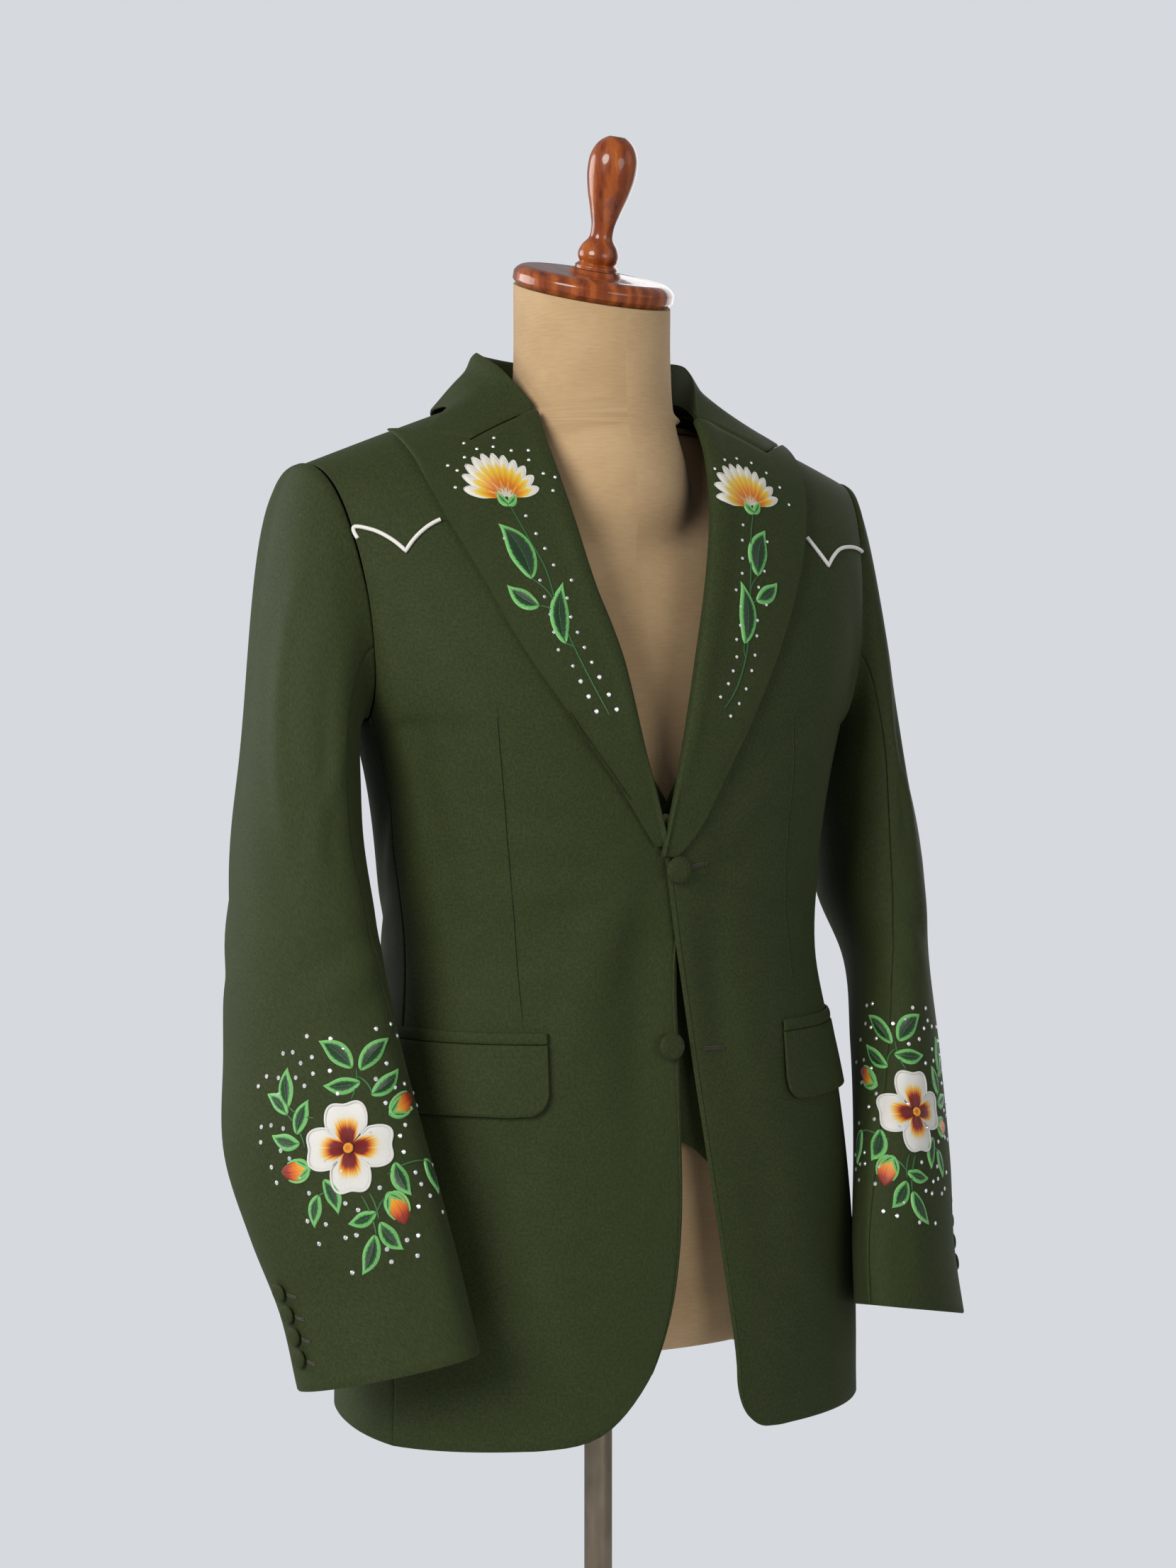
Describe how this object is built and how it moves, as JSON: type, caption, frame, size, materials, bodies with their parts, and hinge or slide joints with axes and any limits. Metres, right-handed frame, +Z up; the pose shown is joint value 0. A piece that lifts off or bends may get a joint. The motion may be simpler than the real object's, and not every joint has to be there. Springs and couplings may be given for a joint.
{
  "type": "western suit on dress form",
  "caption": "Fitted jacket with peaked lapels, piped pointed yokes and embroidered sleeves over a matching waistcoat, worn by a limbless dress form on a pole stand.",
  "frame": {"origin": "middle of the whole object's box in X and Y, on the floor under the stand's round base", "axes": "+Z up, -Y the way the suit faces, +X the wearer's left"},
  "size_m": [0.5972, 0.4, 1.676],
  "materials": {
    "green_suiting": "fine wool twill, soft sheen",
    "white_piping": "satin cord",
    "covered_button": "covered in the suit's own cloth",
    "form_linen": "matt, tightly stretched",
    "polished_wood": "gloss varnish",
    "brushed_steel": "brushed",
    "painted_iron": "satin"
  },
  "bodies": {
    "root": {"cuff_button_left_1": "covered_button", "cuff_button_left_2": "covered_button", "cuff_button_left_3": "covered_button", "cuff_button_left_4": "covered_button", "cuff_button_right_1": "covered_button", "cuff_button_right_2": "covered_button", "cuff_button_right_3": "covered_button", "cuff_button_right_4": "covered_button", "form_finial": "polished_wood", "form_neck_cap": "polished_wood", "form_torso": "form_linen", "front_button_1": "covered_button", "front_button_2": "covered_button", "front_yoke_left": "green_suiting", "front_yoke_right": "green_suiting", "jacket_back_left": "green_suiting", "jacket_back_right": "green_suiting", "jacket_collar": "green_suiting", "jacket_front_left": "green_suiting", "jacket_front_right": "green_suiting", "jacket_side_left": "green_suiting", "jacket_side_right": "green_suiting", "lapel_left": "green_suiting", "lapel_right": "green_suiting", "pocket_flap_left": "green_suiting", "pocket_flap_right": "green_suiting", "pocket_welt_left": "green_suiting", "pocket_welt_right": "green_suiting", "sleeve_left_top": "green_suiting", "sleeve_left_under": "green_suiting", "sleeve_right_top": "green_suiting", "sleeve_right_under": "green_suiting", "stand_base": "painted_iron", "stand_pole": "brushed_steel", "vest_back": "green_suiting", "vest_button_1": "covered_button", "vest_button_2": "covered_button", "vest_button_3": "covered_button", "vest_button_4": "covered_button", "vest_front_left": "green_suiting", "vest_front_right": "green_suiting", "yoke_piping_left": "white_piping", "yoke_piping_right": "white_piping"}
  },
  "joints": []
}
